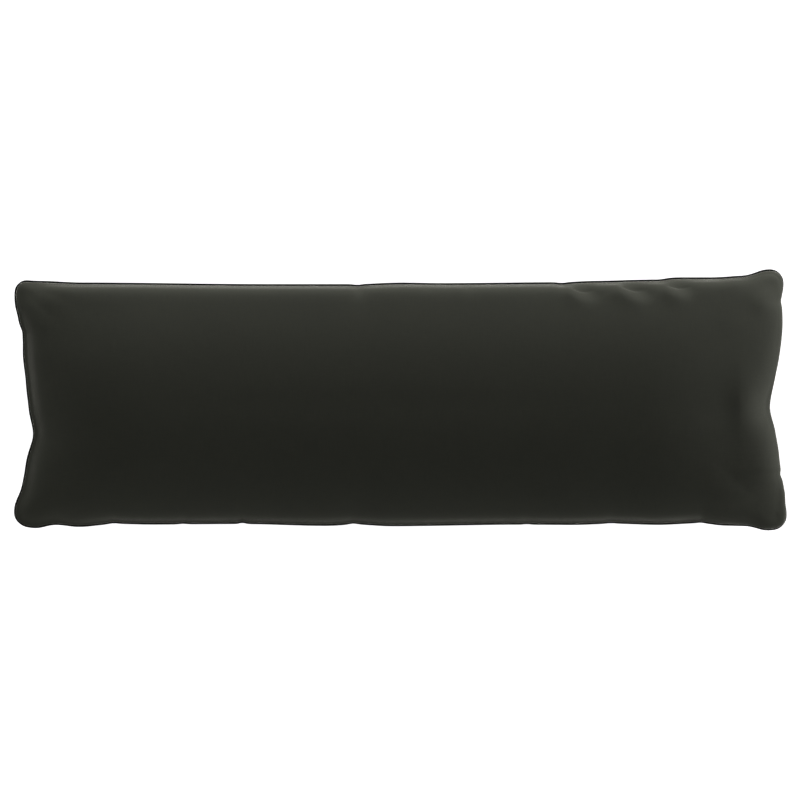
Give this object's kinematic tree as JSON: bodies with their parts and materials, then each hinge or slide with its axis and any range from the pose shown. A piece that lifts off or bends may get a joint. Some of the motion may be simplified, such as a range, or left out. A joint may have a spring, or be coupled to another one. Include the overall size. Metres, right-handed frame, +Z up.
{
  "type": "back cushion",
  "caption": "Long knife-edge back cushion, two crowned fabric panels sewn round a soft filling with piping in the seam, for the back of a bench or lounge seat.",
  "frame": {"origin": "middle of the base, on the surface that the cushion lies on", "axes": "+X along the length, +Y across the width to the side with the folds near its right-hand corner, +Z up out of the face panel"},
  "size_m": [1.2, 0.404, 0.12],
  "materials": {
    "cover_fabric": "matt charcoal woven fabric, fine and even, with a faint warm olive cast",
    "piping_fabric": "matt near-black fabric over a cord"
  },
  "bodies": {
    "root": {"cushion": "cover_fabric", "piping": "piping_fabric"}
  },
  "joints": []
}
